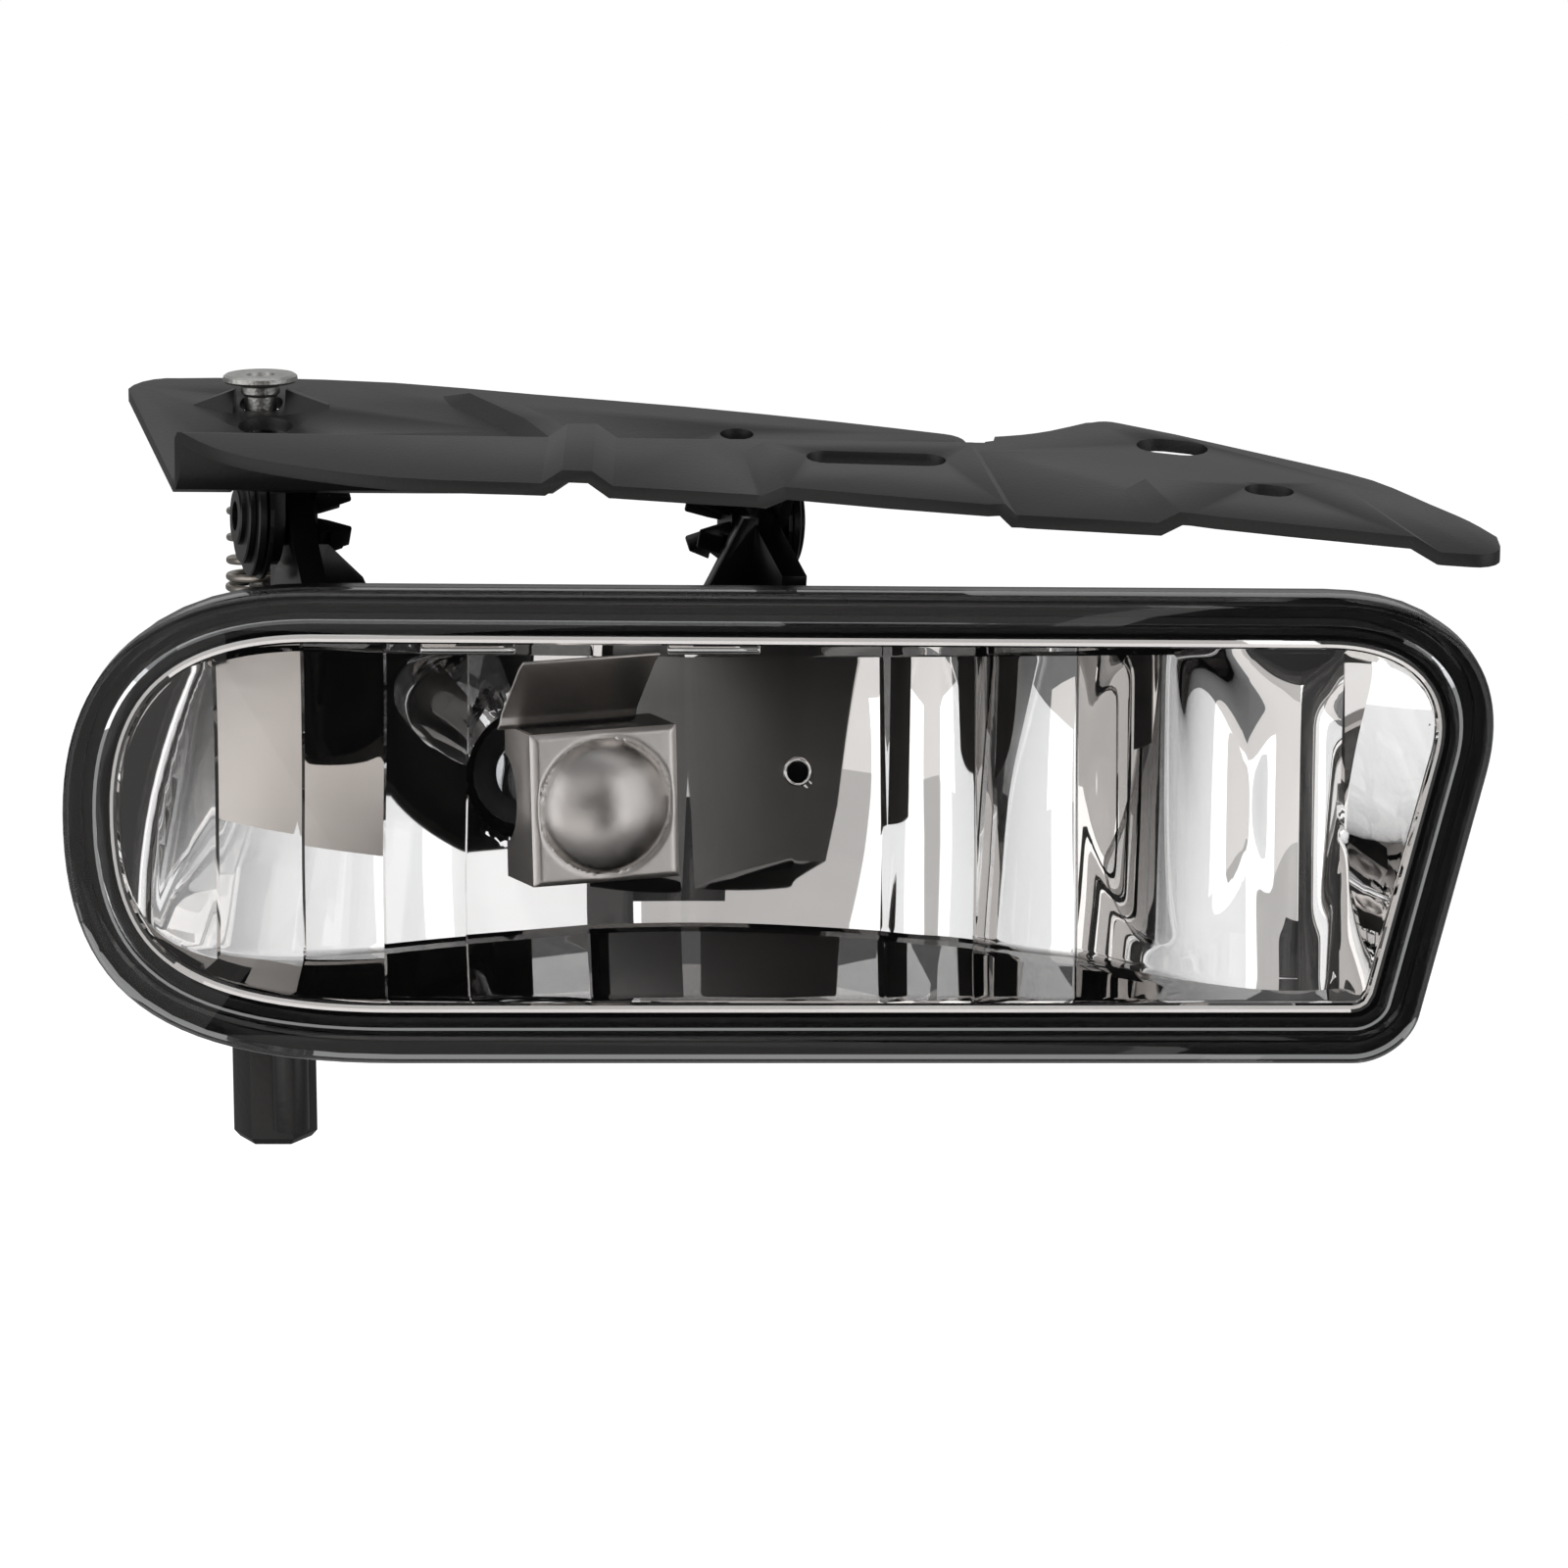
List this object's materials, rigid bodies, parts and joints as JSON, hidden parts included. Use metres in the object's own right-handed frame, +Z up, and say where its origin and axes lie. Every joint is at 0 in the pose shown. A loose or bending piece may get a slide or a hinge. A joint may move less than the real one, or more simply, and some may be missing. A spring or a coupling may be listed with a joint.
{
  "type": "fog light",
  "caption": "Rectangular bumper fog light with one rounded end, a fluted reflector, a bulb shield, a folded steel mounting bracket on pivots and a sprung aiming screw.",
  "frame": {"origin": "centre of the slotted fixing pad on top of the mounting bracket", "axes": "+X along the lamp towards the bracket's free tip (the viewer's right from the front), -Y forward through the lens, +Z up"},
  "size_m": [0.2401, 0.1101, 0.1417],
  "materials": {
    "coated_steel": "satin dark grey coating with a fine orange peel",
    "housing_moulding": "black moulding, fine grain",
    "lens_glass": "clear hard-coated lens",
    "sealing_rubber": "matt",
    "reflector_mirror": "vacuum-aluminised, mirror bright",
    "zinc_plate": "zinc plated, slightly rough",
    "shield_steel": "satin folded sheet",
    "bulb_quartz": "clear quartz",
    "tungsten": "drawn wire",
    "bulb_plastic": "black heat-resistant moulding",
    "terminal_brass": "bright",
    "black_nylon": "black nylon",
    "knob_moulding": "black, slightly glossy",
    "spring_steel": "drawn wire, warm grey"
  },
  "bodies": {
    "bracket": {"mounting_bracket": "coated_steel", "pivot_bushing_left": "black_nylon", "pivot_bushing_right": "black_nylon", "spring_seat_upper": "black_nylon"},
    "lamp": {"housing": "housing_moulding", "lens": "lens_glass", "lens_seal": "sealing_rubber", "reflector": "reflector_mirror", "reflector_screw_1": "zinc_plate", "reflector_screw_2": "zinc_plate", "reflector_screw_3": "zinc_plate", "bulb_shield": "shield_steel", "pivot_pin_left": "black_nylon", "pivot_pin_right": "black_nylon", "pivot_tower_left": "housing_moulding", "pivot_tower_right": "housing_moulding", "adjuster_column": "housing_moulding", "spring_seat_lower": "black_nylon", "adjuster_spring": "spring_steel", "vent_elbow": "sealing_rubber", "vent_cap": "black_nylon"},
    "screw": {"adjuster_screw": "zinc_plate"},
    "knob": {"adjuster_knob": "knob_moulding"},
    "bulb": {"bulb_glass": "bulb_quartz", "bulb_filament": "tungsten", "bulb_base": "bulb_plastic", "bulb_seal": "sealing_rubber", "bulb_connector": "bulb_plastic", "bulb_terminal_1": "terminal_brass", "bulb_terminal_2": "terminal_brass"}
  },
  "joints": [
    {"name": "aim_tilt", "type": "hinge", "parent": "bracket", "child": "lamp", "pos_m": [-0.108, 0.035, -0.0132], "axis": [0.9597, 0.2752, -0.0576], "range_deg": [-4, 4], "deforming": ["adjuster_spring"]},
    {"name": "screw_slide", "type": "slide", "parent": "lamp", "child": "screw", "axis": [0, 0, 1], "range_m": [-0.0021, 0.0021]},
    {"name": "knob_turn", "type": "hinge", "parent": "lamp", "child": "knob", "pos_m": [-0.109, 0.064, -0.06], "axis": [0, 0, 1], "range_deg": [-720, 720]},
    {"name": "bulb_twist", "type": "hinge", "parent": "lamp", "child": "bulb", "pos_m": [-0.0615, 0.045, -0.0613], "axis": [0.3243, -0.9419, 0.0872], "range_deg": [0, 50]}
  ],
  "couplings": [
    {"joint": "screw_slide", "follows": "aim_tilt", "m_per_rad": -0.02815},
    {"joint": "knob_turn", "follows": "aim_tilt", "ratio": 176.9}
  ]
}
